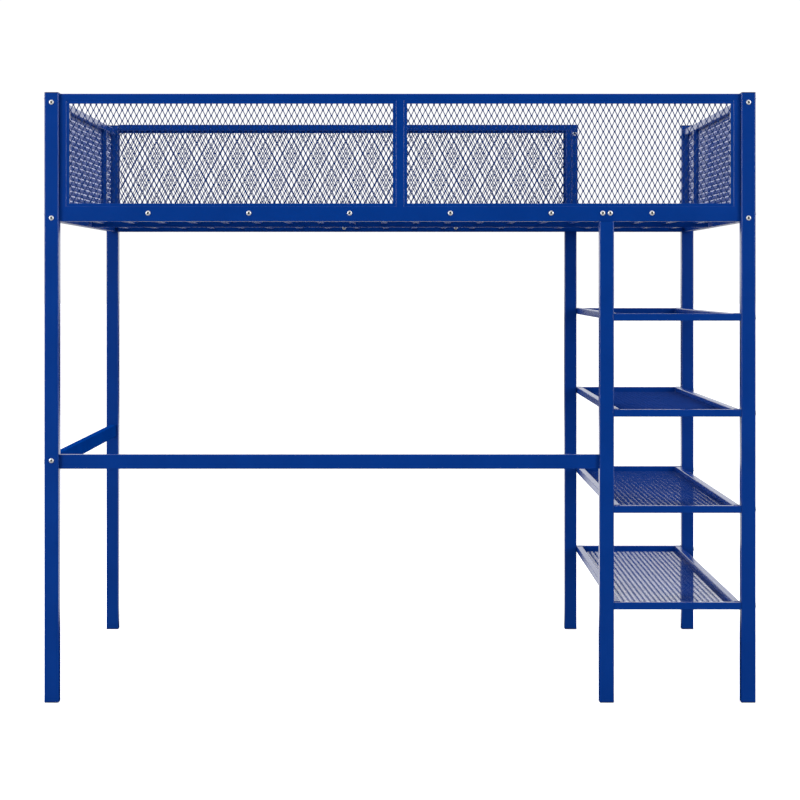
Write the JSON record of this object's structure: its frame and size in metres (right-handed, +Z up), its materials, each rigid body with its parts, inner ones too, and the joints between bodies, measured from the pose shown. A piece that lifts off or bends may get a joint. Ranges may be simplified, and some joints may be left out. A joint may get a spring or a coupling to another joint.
{
  "type": "loft bed",
  "caption": "Steel loft bed with expanded-metal guards round a raised slatted platform, a column of mesh shelves at one end and an open bay for a desk underneath.",
  "frame": {"origin": "on the floor under the middle of the bed", "axes": "+X along the bed towards the shelf end, +Y across the bed towards the rear side with the access gap, +Z up"},
  "size_m": [1.98, 1.4378, 1.702],
  "materials": {
    "painted_tube": "glossy deep blue powder coat",
    "painted_mesh": "glossy deep blue powder coat on expanded metal",
    "plug_plastic": "satin blue plastic",
    "zinc_hardware": "bright zinc plate"
  },
  "bodies": {
    "root": {"deck_bolt_left": "zinc_hardware", "deck_bolt_right": "zinc_hardware", "foot_plug_front_left": "plug_plastic", "foot_plug_front_right": "plug_plastic", "foot_plug_front_shelf": "plug_plastic", "foot_plug_rear_left": "plug_plastic", "foot_plug_rear_right": "plug_plastic", "foot_plug_rear_shelf": "plug_plastic", "front_guard_frame": "painted_tube", "front_lower_bar": "painted_tube", "front_mesh_left": "painted_mesh", "front_mesh_right": "painted_mesh", "left_guard_frame": "painted_tube", "left_lower_bar": "painted_tube", "left_mesh_front": "painted_mesh", "left_mesh_middle": "painted_mesh", "left_mesh_rear": "painted_mesh", "lower_bar_bolt": "zinc_hardware", "post_bolt_left_low": "zinc_hardware", "post_bolt_left_rear": "zinc_hardware", "post_bolt_left_top": "zinc_hardware", "post_bolt_right_low": "zinc_hardware", "post_bolt_right_rear": "zinc_hardware", "post_bolt_right_top": "zinc_hardware", "post_front_left": "painted_tube", "post_front_right": "painted_tube", "post_rear_left": "painted_tube", "post_rear_right": "painted_tube", "rail_bolt_left_1": "zinc_hardware", "rail_bolt_left_2": "zinc_hardware", "rail_bolt_left_3": "zinc_hardware", "rail_bolt_right_1": "zinc_hardware", "rail_bolt_right_2": "zinc_hardware", "rail_bolt_right_3": "zinc_hardware", "rear_guard_bolt": "zinc_hardware", "rear_guard_frame": "painted_tube", "rear_mesh_left": "painted_mesh", "rear_mesh_right": "painted_mesh", "right_guard_frame": "painted_tube", "right_mesh_front": "painted_mesh", "right_mesh_middle": "painted_mesh", "right_mesh_rear": "painted_mesh", "shelf_frame_1": "painted_tube", "shelf_frame_2": "painted_tube", "shelf_frame_3": "painted_tube", "shelf_frame_4": "painted_tube", "shelf_mesh_1": "painted_mesh", "shelf_mesh_2": "painted_mesh", "shelf_mesh_3": "painted_mesh", "shelf_mesh_4": "painted_mesh", "shelf_post_bolt_1": "zinc_hardware", "shelf_post_bolt_2": "zinc_hardware", "shelf_post_front": "painted_tube", "shelf_post_rear": "painted_tube", "slat_panel_left": "painted_tube", "slat_panel_right": "painted_tube", "top_cap_front_left": "plug_plastic", "top_cap_front_right": "plug_plastic", "top_cap_rear_left": "plug_plastic", "top_cap_rear_right": "plug_plastic"}
  },
  "joints": []
}
